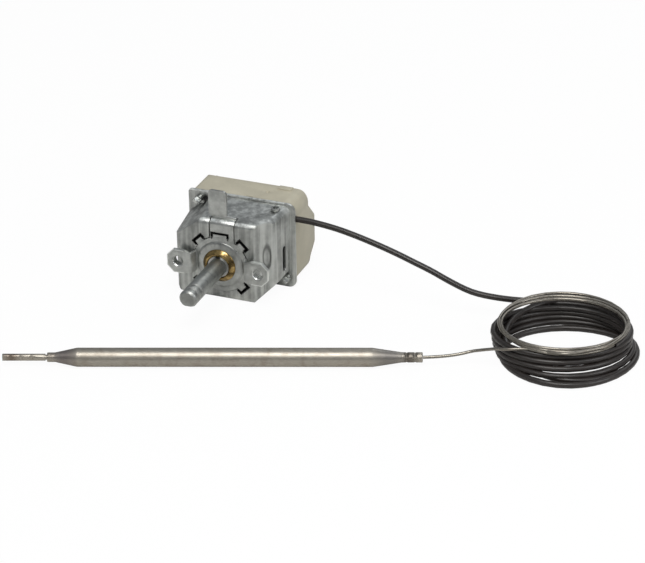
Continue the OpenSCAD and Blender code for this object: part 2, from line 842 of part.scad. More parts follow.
module tube(path, r, sides = 8) {
    n = len(path);
    pts = [for (i = [0 : n - 1]) each ring_at(path[i], direction(path, i), r, sides)];
    walls = [for (i = [0 : n - 2], k = [0 : sides - 1])
        let (a = i * sides + k, b = i * sides + (k + 1) % sides)
        each [[a, b, a + sides], [b, b + sides, a + sides]]];
    first = [for (k = [1 : sides - 2]) [0, k + 1, k]];
    base_i = (n - 1) * sides;
    last = [for (k = [1 : sides - 2]) [base_i, base_i + k, base_i + k + 1]];
    polyhedron(points = pts, faces = concat(walls, first, last), convexity = 6);
}

// Smooth curve through the points of a route, with extra rings between them
function curve_point(a, b, c, d, t) =
    0.5 * (2 * b + (c - a) * t + (2 * a - 5 * b + 4 * c - d) * t * t
        + (3 * b - a - 3 * c + d) * t * t * t);
function smooth(path, steps) =
    let (n = len(path))
    [for (i = [0 : n - 2], s = [0 : steps - 1])
        curve_point(path[max(i - 1, 0)], path[i], path[i + 1], path[min(i + 2, n - 1)], s / steps),
     path[n - 1]];

// Bare capillary inside, from beside the stub to the start of the sleeve
inner_start = [
    (capsule_r + stub_len) * cos(stub_angle) + 0.3, stub_y, (capsule_r + stub_len) * sin(stub_angle) + 0.3
];
inner_end = [exit_in - 0.4, exit_y, exit_z];
INNER_SHARES = [[0, 0, 0], [0.2, 0.09, 0.4], [0.41, 0.45, 0.75], [0.61, 0.84, 0.95], [1, 1, 1]];
INNER = [for (k = INNER_SHARES)
    [for (i = [0 : 2]) inner_start[i] + k[i] * (inner_end[i] - inner_start[i])]];

module capillary_inner() color(stainless) {
    tube(smooth(INNER, 2), capillary_d / 2);
}

module push_pin() color(ceramic) {
    turned_about_y([
        [0, pin_y], [pin_r - 0.4, pin_y], [pin_r, pin_y + 0.4], [pin_r, pin_end - 0.4],
        [pin_r - 0.4, pin_end], [0, pin_end]
    ]);
}

// Side outline of the base: thin at the top, deeper in the middle
function base_side() = rounded([
    [base_y, -flange_low, 0.4], [base_low_y, -flange_low, 1.2],
    [base_low_y + 0.6, -slope_low, 1], [base_back_y, -block_low, 1.5],
    [base_back_y, block_high, 1.5], [base_top_y, slope_high, 1],
    [base_top_y, flange_high - 0.2, 1.2], [base_y, flange_high - 0.2, 0.5]
]);

module base() color(cream) {
    difference() {
        union() {
            intersection() {
                slab_yz(base_side(), -base_left, base_right);
                plate_xz(rounded([
                    [-base_left, -flange_low, base_r], [base_right, -flange_low, base_r],
                    [base_right, flange_high - 0.2, base_r], [-base_left, flange_high - 0.2, 2.6]
                ]), base_y, base_back_y + past);
            }
            // Raised pad on the top, near the back
            block([base_right - 2 * pad_w, pad_y, flange_high - 1],
                  [base_right - pad_w, pad_y + pad_d, flange_high + 0.2]);
        }
        // Recess for the capsule and the channel for the capillary
        rod(recess_r, base_y - past, recess_y);
        translate([exit_in - 3.5, exit_y, exit_z])
            rotate([0, 90, 0])
                cylinder(r = notch_r, h = flange_right);
        block([exit_in - 3.5, base_y - past, exit_z - notch_r],
              [flange_right + past, exit_y, exit_z + notch_r]);
        block([6, base_y - past, 7], [exit_in, exit_y, exit_z + notch_r]);
        // Guide bore of the push pin
        rod(pin_r + run_fit, recess_y - past, chamber_y + past);
        // Switch chamber, open at the back
        block([-chamber_half + ledge, chamber_y, -chamber_h + ledge],
              [chamber_half - ledge, base_back_y + past, chamber_h - ledge]);
        block([-chamber_half, chamber_back, -chamber_h], [chamber_half, base_back_y + past, chamber_h]);
        for (s = [-1, 1])
            translate([s * rivet_x, 0, 0])
                rod(rivet_shank, chamber_y - rivet_in, chamber_y + past);
        // Dimple and small notch in the top
        translate([7.6, base_y + 5.7, flange_high - 0.6])
            cylinder(r1 = 0.6, r2 = 1, h = past);
        block([2, base_y - past, flange_high - 0.9], [4.5, base_y + 0.9, flange_high + past]);
        // Seat of the lower stud's head
        translate([stud_br[0], 0, stud_br[1]])
            rod(head_r + 0.15, base_low_y, base_back_y + past);
        // Bores for the corner studs
        for (p = [stud_tl, stud_br])
            translate([p[0], 0, p[1]])
                rod(fix_r + seat_gap, base_y - past, base_back_y + past);
    }
}

// Plate that closes the switch chamber, with slots for the blades
module rear_cover() color(cream) {
    difference() {
        plate_xz(rounded([
            [-chamber_half + seat_gap, -chamber_h + seat_gap, 0.4],
            [chamber_half - seat_gap, -chamber_h + seat_gap, 0.4],
            [chamber_half - seat_gap, chamber_h - seat_gap, 0.4],
            [-chamber_half + seat_gap, chamber_h - seat_gap, 0.4]
        ]), chamber_back, base_back_y);
        for (s = [-1, 1])
            block([s * blade_x - blade_t / 2 - seat_gap, chamber_back - past,
                   -blade_w / 2 - seat_gap],
                  [s * blade_x + blade_t / 2 + seat_gap, base_back_y + past,
                   blade_w / 2 + seat_gap]);
        rod(screw_r + seat_gap, chamber_back - past, base_back_y + past);
    }
}

screw_r = 1.5;

// Leaf spring that carries the moving contact
module contact_spring() color(copper) {
    plate_xz(rounded([
        [pivot_x, -leaf_h / 2, 0.2], [leaf_end, -leaf_h / 2 + 1, 1.2],
        [leaf_end, leaf_h / 2 - 1, 1.2], [pivot_x, leaf_h / 2, 0.2]
    ]), leaf_y, leaf_y + spring_t);
}

module moving_contact() color(silver) {
    translate([contact_x, 0, 0])
        rod(contact_r, leaf_y - contact_t, leaf_y);
}

module fixed_contact() color(silver) {
    translate([contact_x, 0, 0])
        rod(contact_r, chamber_y + foot_t, chamber_y + foot_t + contact_t);
}

// Blade that leaves the back of the base, with a foot on the chamber floor
module blade(s) {
    x = s * blade_x;
    difference() {
        block([x - blade_t / 2, chamber_y, -blade_w / 2],
              [x + blade_t / 2, base_back_y + blade_len, blade_w / 2]);
        for (v = [-1, 1])
            translate([x, base_back_y + blade_len, v * blade_w / 2])
                rotate([45, 0, 0])
                    cube([2 * blade_t, 1.6, 1.6], center = true);
        translate([x - blade_t, base_back_y + blade_len - blade_hole_in, 0])
            rotate([0, 90, 0])
                cylinder(r = blade_hole_r, h = 2 * blade_t);
    }
}

module feed_terminal() color(brass) {
    difference() {
        union() {
            blade(-1);
            block([-foot_reach, chamber_y, -blade_w / 2],
                  [-blade_x, chamber_y + foot_t, blade_w / 2]);
            // Slotted post that holds the root of the leaf
            block([-blade_x, chamber_y, -blade_w / 2],
                  [pivot_x + 0.8, leaf_y + spring_t + 0.9, blade_w / 2]);
        }
        translate([-rivet_x, 0, 0])
            rod(rivet_shank, chamber_y - past, chamber_y + 2 * foot_t);
        block([pivot_x - 0.25, leaf_y - 0.15, -leaf_h / 2 - 0.2],
              [pivot_x + 2, leaf_y + spring_t + 0.15, leaf_h / 2 + 0.2]);
    }
}

module load_terminal() color(brass) {
    difference() {
        union() {
            blade(1);
            block([contact_x - contact_r, chamber_y, -blade_w / 2],
                  [foot_reach, chamber_y + foot_t, blade_w / 2]);
        }
        translate([rivet_x, 0, 0])
            rod(rivet_shank, chamber_y - past, chamber_y + 2 * foot_t);
    }
}

module terminal_rivets() color(brass) {
    for (s = [-1, 1])
        translate([s * rivet_x, 0, 0]) {
            rod(rivet_shank, chamber_y - rivet_in, chamber_y + foot_t);
            rod(rivet_shank + 0.7, chamber_y + foot_t, chamber_y + foot_t + 0.6);
        }
}

module calibration_screw() color(brass) {
    tip_y = leaf_y + spring_t + pin_travel + 1;
    difference() {
        union() {
            rod(screw_r, tip_y + 0.6, base_back_y + 0.4);
            turned_about_y([
                [0, tip_y], [screw_r - 0.7, tip_y], [screw_r, tip_y + 0.7], [0, tip_y + 0.7]
            ]);
        }
        block([-screw_r, base_back_y - 0.5, -0.25], [screw_r, base_back_y + past, 0.25]);
    }
}

module fixing_studs() color(zinc) {
    for (p = [stud_tl, stud_br])
        translate([p[0], 0, p[1]]) {
            back = p[1] > 0 ? base_top_y : base_low_y;
            difference() {
                rod(fix_r, flange_y - fix_out, back);
                // Flattened, twisted end
                rotate([0, 35, 0])
                    for (s = [-1, 1])
                        block([-2, flange_y - fix_out - past, s > 0 ? 0.55 : -2],
                              [2, flange_y - 1.6, s > 0 ? 2 : -0.55]);
            }
            rod(head_r, back, back + head_t);
        }
}

module cover_rivet() color(zinc) {
    wall_z = face_high + (flange_high - 0.9 - face_high) * (rivet_at[1] - cover_gap) / cover_depth;
    translate([rivet_at[0], rivet_at[1], 0])
        difference() {
            union() {
                translate([0, 0, wall_z - sheet_t - 0.8])
                    cylinder(r = rivet_r, h = 0.6);
                translate([0, 0, wall_z - sheet_t - 0.3])
                    cylinder(r = rivet_r - 0.45, h = sheet_t + 0.6);
                translate([0, 0, wall_z + 0.15])
                    cylinder(r = rivet_r, h = 0.9);
            }
            translate([0, 0, wall_z + 0.4])
                cylinder(r = rivet_r - 0.6, h = past);
        }
}

module lead_sleeve() color(sleeve_brown) {
    tube(smooth(LEAD, 2), sleeve_d / 2);
}

// Outer form of one ring of turns
module coil_ring(at, z0, z1) {
    translate([at[0], at[1], 0])
        rotate_extrude()
            polygon(rounded([
                [coil_in, z0, 1.4], [coil_out, z0, 1.4], [coil_out, z1, 1.4], [coil_in, z1, 1.4]
            ], 4));
}

module cord_coil() color(sleeve_brown) {
    coil_ring(coil_low_at, floor_z, coil_mid_z + 0.4);
    coil_ring(coil_top_at, coil_mid_z - 0.4, coil_top_z);
}

module capillary_tail() color(stainless) {
    tube(smooth(TAIL, 2), capillary_d / 2);
}

// Places a piece that is turned about its own X axis where the bulb lies
module on_bulb() {
    translate([bulb_at[0], bulb_at[1], floor_z + bulb_r])
        rotate([0, 0, bulb_turn])
            rotate([0, 90, 0])
                children();
}

module bulb() color(stainless) {
    half = bulb_len / 2;
    neck_r = bulb_neck_d / 2;
    on_bulb()
        difference() {
            rotate_extrude()
                polygon(rounded([
                    [0, -half - left_taper - collar_len, 0],
                    [collar_r, -half - left_taper - collar_len, 0.2],
                    [collar_r, -half - left_taper, 0.3], [bulb_r, -half, 3], [bulb_r, half, 3],
                    [neck_r, half + bulb_taper, 1], [neck_r, half + bulb_taper + bulb_neck, 0.3],
                    [0, half + bulb_taper + bulb_neck, 0]
                ], 4));
            // Crimps pressed into the neck
            for (k = [0 : 1], a = [0 : 90 : 270])
                rotate([0, 0, a + 20])
                    translate([neck_r + 0.25, 0, half + bulb_taper + 1.4 + 2.6 * k])
                        rotate([90, 0, 0])
                            cylinder(r = 0.8, h = 2.4, center = true);
            // Seat of the capillary
            translate([0, 0, half + bulb_taper + bulb_neck - 1])
                cylinder(r = capillary_d / 2, h = past + 1);
            translate([0, 0, -half - left_taper - collar_len - past])
                cylinder(r = 0.8, h = past + 1.4);
        }
}

// Filling tube, flattened and crimped shut
module fill_tube() color(stainless) {
    start = -bulb_len / 2 - left_taper - collar_len;
    flat = 0.8;
    on_bulb()
        difference() {
            union() {
                translate([0, 0, start - 1.4])
                    cylinder(r = 0.8, h = 2.8);
                translate([0, 0, start - fill_len])
                    cylinder(r = fill_r, h = fill_len - 0.6);
            }
            for (s = [-1, 1])
                translate([0, 0, start - fill_len - past])
                    block([-3, s > 0 ? flat : -3, 0], [3, s > 0 ? 3 : -flat, fill_len - 3]);
            // Three crimps across the flat
            for (k = [0 : 2], s = [-1, 1])
                translate([0, s * (flat + 0.5), start - fill_len + 2.6 + 3.2 * k])
                    rotate([0, 90, 0])
                        cylinder(r = 0.8, h = 4, center = true);
        }
}

front_cover();
mounting_bracket();
shaft_bush();
shaft();
retaining_ring();
thrust_washer();
stop_disc();
shaft_clip();
stop_pin();
spindle_yoke();
spindle_nut();
spindle();
capsule_front();
capsule_rear();
capsule_button();
capillary_stub();
capsule_spring();
capillary_inner();
push_pin();
base();
rear_cover();
contact_spring();
moving_contact();
fixed_contact();
feed_terminal();
load_terminal();
terminal_rivets();
calibration_screw();
fixing_studs();
cover_rivet();
lead_sleeve();
cord_coil();
capillary_tail();
bulb();
fill_tube();
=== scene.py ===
"""Looks of a bulb and capillary thermostat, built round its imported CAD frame."""

import json
import math

import bmesh
import bpy
from bpy.props import FloatProperty, FloatVectorProperty, PointerProperty
from mathutils import Matrix, Vector

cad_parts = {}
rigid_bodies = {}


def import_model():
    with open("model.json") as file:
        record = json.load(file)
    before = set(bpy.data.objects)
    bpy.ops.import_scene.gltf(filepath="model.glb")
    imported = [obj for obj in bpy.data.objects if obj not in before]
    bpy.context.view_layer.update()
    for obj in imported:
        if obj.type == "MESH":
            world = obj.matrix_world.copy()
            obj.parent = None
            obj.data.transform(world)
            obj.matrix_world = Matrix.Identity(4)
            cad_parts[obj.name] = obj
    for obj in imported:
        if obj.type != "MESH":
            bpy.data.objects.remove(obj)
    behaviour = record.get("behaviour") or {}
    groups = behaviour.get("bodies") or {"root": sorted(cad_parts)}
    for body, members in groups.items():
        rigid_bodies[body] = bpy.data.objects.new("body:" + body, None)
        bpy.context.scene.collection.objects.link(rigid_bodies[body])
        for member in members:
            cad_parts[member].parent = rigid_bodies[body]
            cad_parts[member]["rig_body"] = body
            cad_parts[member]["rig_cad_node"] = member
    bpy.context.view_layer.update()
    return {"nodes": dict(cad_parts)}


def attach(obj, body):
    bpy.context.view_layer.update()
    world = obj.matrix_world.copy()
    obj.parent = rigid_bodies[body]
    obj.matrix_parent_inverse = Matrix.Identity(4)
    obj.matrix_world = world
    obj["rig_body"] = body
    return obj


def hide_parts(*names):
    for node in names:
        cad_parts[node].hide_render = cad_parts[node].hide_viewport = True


bl_info = {
    "name": "Capillary Thermostat",
    "version": (1, 0, 0),
    "blender": (4, 5, 0),
    "location": "View3D > Sidebar > Thermostat",
    "description": "Builds a capillary thermostat with its bulb, coil and D shaft",
    "category": "Object",
}

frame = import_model()
MM = 0.001
HOUSING = "housing"
SHAFT = "turning_shaft"

# Photograph's view: angles in radians, place and distance in metres
VIEW_AZIMUTH = 0.38762
VIEW_ELEVATION = 0.48294
VIEW_ROLL = -0.01666
VIEW_DISTANCE = 0.9
VIEW_AIM = (0.02893, 0.0188, -0.00898)
VIEW_LENS = 154.08
FLOOR_Z = -0.013
FLANGE_TOP = 0.0171

# Pressed oval in the cover's slanting strip, shade painted round it: place, turn in degrees, half sizes
OVAL_AT = (0.01464, 0.00695, 0.003)
OVAL_TURN = 48.15
OVAL_HALF = (0.0013, 0.0038)

# Tongues of the bracket, half width and reach from the shaft's axis: slanting ones and the upper
# one, then the bracket's ears: far end and half height with the cut corners' line
TONGUE_HALF, TONGUE_REACH, TONGUE_ROOT = 0.0015, 0.0112, 0.0099
TOP_TONGUE_HALF, TOP_TONGUE_REACH, TOP_TONGUE_ROOT = 0.0025, 0.0106, 0.0094
EAR_END, EAR_HALF, EAR_CORNER, EAR_ROOT = 0.0177, 0.0041, 0.0196, 0.0117

# Painted light: Y, Z of the highlight on the cover's upper front edge; X, Z of the stud's shadow
FRONT_EDGE = (0.0037, 0.0150)
STUD_SHADOW = (-0.0117, 0.0142)
# Radius of the painted shade ring at the edge of the bracket's dish
DISH_EDGE = 0.00775

# Threads painted in the ears: holes' distance from the shaft's axis, thread's reach and pitch
EAR_HOLE, THREAD_RADIUS, THREAD_PITCH = 0.014, 0.00178, 0.0007

# Sleeved lead from the notch in the base to the coil, as in the part's source, in mm
LEAD = [
    (14, 20.7, 11.2), (19, 20.7, 11.2), (25, 20.8, 11), (33, 20.8, 10.1), (41, 20.5, 8.6),
    (49, 20.1, 6.7), (55.6, 19.7, 4.9), (61, 19.1, 3.4), (66.5, 18.9, 1.6), (72.5, 19, -1),
    (78.5, 19.4, -3.4), (83, 20, -4.5), (88, 21.2, -5.3), (92, 22.6, -5.9), (95.8, 24, -6.3),
]

# Bare capillary from the bulb's neck towards the coil, as in the part's source, in mm
TAIL = [
    (76.3, -15.7, -10), (80, -14.1, -9.9), (83.8, -12.5, -9.6), (87.3, -11, -9),
    (90, -9.8, -8.3), (92.8, -9.3, -7.6), (95.5, -9.3, -6.8), (98, -9.4, -6.1),
    (102, -9.6, -5.4), (107, -8.5, -4.8), (112.9, -8.8, -4.2), (116.5, -9.4, -3.8),
    (121.4, -9.1, -3.4),
]

# Turn of the bulb on the floor in degrees, and where heat has tinted it: place along its own
# axis, reach to either side and colour
BULB_TURN = 20.2
HEAT_TINT = (
    (-45.5 * MM, 4.6 * MM, (0.19, 0.165, 0.165)),
    (-62.0 * MM, 3.0 * MM, (0.17, 0.13, 0.10)),
    (56.0 * MM, 7.0 * MM, (0.20, 0.19, 0.185)),
    (62.0 * MM, 3.2 * MM, (0.13, 0.115, 0.10)),
)

# Turns of the coil, clockwise seen from above, from its back: turn, centre X, centre Y, half its
# breadth, half its depth, Z. Its broad way is turned by an angle in degrees
COIL_TURN = 22.2
LOWEST_TURN = -12.0
SLEEVE_TURNS = [
    (0.00, 113.2, 9.6, 21.5, 17.6, -6.3), (0.25, 113.3, 9.4, 21.5, 17.4, -6.4),
    (0.50, 113.3, 9.2, 21.4, 17.2, -6.1), (0.75, 113.4, 8.9, 21.4, 17.2, -6.1),
    (1.00, 113.5, 8.6, 21.3, 17.2, -7.1), (1.25, 113.6, 8.6, 21.3, 17.3, -7.6),
    (1.50, 113.7, 8.5, 21.2, 17.5, -7.6), (1.75, 113.7, 8.4, 21.2, 17.6, -8.0),
    (2.00, 113.8, 8.4, 21.1, 17.8, -8.9), (2.25, 113.9, 8.1, 21.0, 17.9, -9.2),
    (2.50, 114.1, 8.1, 21.1, 18.0, -9.3), (2.75, 114.3, 7.9, 21.2, 18.0, -9.7),
    (3.00, 114.6, 8.1, 21.3, 18.0, -10.4), (3.25, 114.8, 8.0, 21.3, 18.0, -10.8),
    (3.50, 115.3, 7.2, 21.4, 18.7, -10.8), (3.75, 115.4, 7.6, 21.5, 18.2, -11.3),
    (4.00, 115.8, 7.4, 21.6, 18.3, -11.7), (4.25, 116.1, 7.0, 21.6, 18.3, -11.9),
    (4.50, 116.8, 5.2, 21.2, 19.6, -12.0), (4.75, 116.9, 5.6, 21.1, 18.9, -12.0),
    (5.00, 117.4, 4.6, 20.9, 17.8, -12.0), (5.25, 117.3, 5.0, 20.8, 18.0, -12.0),
    (5.50, 115.8, 5.3, 19.4, 17.3, -11.9), (5.75, 114.6, 8.4, 18.7, 16.6, -8.6),
    (6.00, 113.8, 10.0, 19.4, 18.0, -5.4),
    (6.25, 113.6, 10.0, 19.9, 18.6, -5.0), (6.37, 113.6, 9.9, 19.9, 18.8, -4.8),
]
BARE_TURNS = [
    (6.37, 113.6, 9.9, 19.9, 18.8, -4.8), (6.50, 113.7, 10.4, 20.2, 19.6, -4.5),
    (6.75, 113.7, 10.7, 20.2, 19.9, -4.4), (7.00, 113.6, 10.7, 20.3, 19.8, -4.2),
    (7.25, 113.6, 10.4, 20.3, 19.3, -4.0), (7.50, 113.6, 10.1, 20.3, 18.8, -3.9),
    (7.75, 113.7, 9.8, 20.3, 18.4, -3.8), (8.00, 113.8, 9.4, 20.2, 18.0, -3.6),
    (8.25, 114.0, 9.1, 20.0, 17.5, -3.4), (8.50, 114.1, 8.8, 19.8, 17.1, -3.2),
    (8.75, 114.3, 8.2, 19.6, 17.0, -3.1), (9.00, 114.5, 7.5, 19.5, 16.9, -3.0),
    (9.25, 114.5, 7.1, 19.4, 17.2, -3.0), (9.40, 114.6, 7.0, 19.4, 17.5, -3.2),
]


# ---------------------------------------------------------------- settings


class CapillarySizes(bpy.types.PropertyGroup):
    """Sizes of the capillary and its sleeve."""

    sleeve_diameter: FloatProperty(
        name="Sleeve diameter", description="Outer diameter of the woven sleeve",
        default=2.0 * MM, min=1.6 * MM, max=2.4 * MM, subtype="DISTANCE", unit="LENGTH",
    )
    tube_diameter: FloatProperty(
        name="Tube diameter", description="Outer diameter of the bare capillary",
        default=1.0 * MM, min=0.7 * MM, max=1.3 * MM, subtype="DISTANCE", unit="LENGTH",
    )


class SheetFinish(bpy.types.PropertyGroup):
    """Edges and colours of the metal and plastic pieces."""

    sheet_edge: FloatProperty(
        name="Sheet edge", description="Round on the edges of pressed sheet",
        default=0.2 * MM, min=0.0, max=0.3 * MM, subtype="DISTANCE", unit="LENGTH",
    )
    zinc_colour: FloatVectorProperty(
        name="Zinc", description="Colour of the zinc plated steel",
        default=(0.41, 0.42, 0.405), min=0, max=1, subtype="COLOR",
    )
    brass_colour: FloatVectorProperty(
        name="Brass", description="Colour of the bush",
        default=(0.40, 0.28, 0.115), min=0, max=1, subtype="COLOR",
    )
    cream_colour: FloatVectorProperty(
        name="Cream", description="Colour of the moulded base",
        default=(0.43, 0.40, 0.31), min=0, max=1, subtype="COLOR",
    )
    sleeve_colour: FloatVectorProperty(
        name="Sleeve", description="Colour of the varnished sleeve",
        default=(0.0135, 0.0103, 0.0088), min=0, max=1, subtype="COLOR",
    )
    stainless_colour: FloatVectorProperty(
        name="Stainless", description="Colour of the bulb and capillary",
        default=(0.42, 0.39, 0.34), min=0, max=1, subtype="COLOR",
    )


class StageLights(bpy.types.PropertyGroup):
    """Strength of the lamps and of the surroundings."""

    key_power: FloatProperty(
        name="Key", description="Power of the large upper left lamp in watts",
        default=3.0, min=0, subtype="POWER", unit="POWER",
    )
    side_power: FloatProperty(
        name="Side", description="Power of the right lamp in watts",
        default=1.0, min=0, subtype="POWER", unit="POWER",
    )
    sky_strength: FloatProperty(
        name="Surroundings", description="Brightness of the surroundings",
        default=0.42, min=0, max=2,
    )


# ---------------------------------------------------------------- shader maths


class Wire:
    """A shader socket that takes part in sums."""

    def __init__(self, kit, socket):
        self.kit = kit
        self.socket = socket

    def _sum(self, operation, a, b=0.0):
        return self.kit.add("ShaderNodeMath", {"operation": operation}, {0: a, 1: b})

    def __add__(self, other):
        return self._sum("ADD", self, other)

    __radd__ = __add__

    def __sub__(self, other):
        return self._sum("SUBTRACT", self, other)

    def __rsub__(self, other):
        return self._sum("SUBTRACT", other, self)

    def __mul__(self, other):
        return self._sum("MULTIPLY", self, other)

    __rmul__ = __mul__

    def __truediv__(self, other):
        return self._sum("DIVIDE", self, other)

    def __rtruediv__(self, other):
        return self._sum("DIVIDE", other, self)

    def __pow__(self, other):
        return self._sum("POWER", self, other)

    def sine(self):
        return self._sum("SINE", self)

    def size(self):
        return self._sum("ABSOLUTE", self)

    def root(self):
        return self._sum("SQRT", self)

    def over(self, other):
        return self._sum("MAXIMUM", self, other)

    def under(self, other):
        return self._sum("MINIMUM", self, other)


class Finish:
    """A material under construction."""

    def __init__(self, name):
        self.material = bpy.data.materials.new(name)
        self.material.use_nodes = True
        self.tree = self.material.node_tree
        self.shader = self.tree.nodes["Principled BSDF"]

    def add(self, kind, settings=None, inputs=None, out=0):
        """One node of a kind: its settings first, then its sockets' values or links."""
        made = self.tree.nodes.new(kind)
        for key, value in (settings or {}).items():
            if key == "stops":
                ramp = made.color_ramp
                while len(ramp.elements) < len(value):
                    ramp.elements.new(0.5)
                for element, (place, colour) in zip(ramp.elements, value):
                    element.position = place
                    element.color = (*colour, 1) if len(colour) == 3 else colour
            else:
                setattr(made, key, value)
        for key, value in (inputs or {}).items():
            self.feed(made.inputs[key], value)
        return Wire(self, made.outputs[out])

    def feed(self, socket, value):
        if isinstance(value, Wire):
            self.tree.links.new(value.socket, socket)
        elif hasattr(socket.default_value, "__len__") and len(value) < len(socket.default_value):
            socket.default_value = (*value, 1)
        else:
            socket.default_value = value

    def place(self, stretch=(1, 1, 1), turn=(0, 0, 0)):
        """Object coordinates, stretched and turned."""
        coords = self.add("ShaderNodeTexCoord", out=3)
        return self.add("ShaderNodeMapping", {"vector_type": "POINT"},
                        {"Vector": coords, "Scale": stretch, "Rotation": turn})

    def places(self):
        """X, Y and Z of the object coordinates."""
        split = self.add("ShaderNodeSeparateXYZ", {}, {0: self.place()})
        return [Wire(self, out) for out in split.socket.node.outputs]

    def band(self, value, centre, reach, full=0.4):
        """1 where the value lies near the centre, 0 beyond the reach."""
        return self.ramp(1 - (value - centre).size() * (1 / reach), (0.0, 0.0), (full, 1.0))

    def noise(self, scale, detail=3.0, rough=0.55, at=None, warp=0.0):
        return self.add("ShaderNodeTexNoise", {}, {
            "Vector": at or self.place(), "Scale": scale, "Detail": detail,
            "Roughness": rough, "Distortion": warp})

    def ramp(self, value, *stops):
        grey = [(p, (c, c, c) if not hasattr(c, "__len__") else c) for p, c in stops]
        return self.add("ShaderNodeValToRGB", {"stops": grey}, {0: value})

    def mix(self, factor, a, b, blend="MIX"):
        return self.add("ShaderNodeMix", {"data_type": "RGBA", "blend_type": blend},
                        {0: factor, 6: a, 7: b}, out=2)

    def bump(self, height, strength, depth, under=None):
        inputs = {"Height": height, "Strength": strength, "Distance": depth}
        if under:
            inputs["Normal"] = under
        return self.add("ShaderNodeBump", {}, inputs)

    def use(self, **sockets):
        """Feeds the main shader: names with spaces are written with underscores."""
        for key, value in sockets.items():
            self.feed(self.shader.inputs[key.replace("_", " ")], value)
        return self.material


def tint(colour, factor):
    return tuple(min(1.0, c * factor) for c in colour[:3])


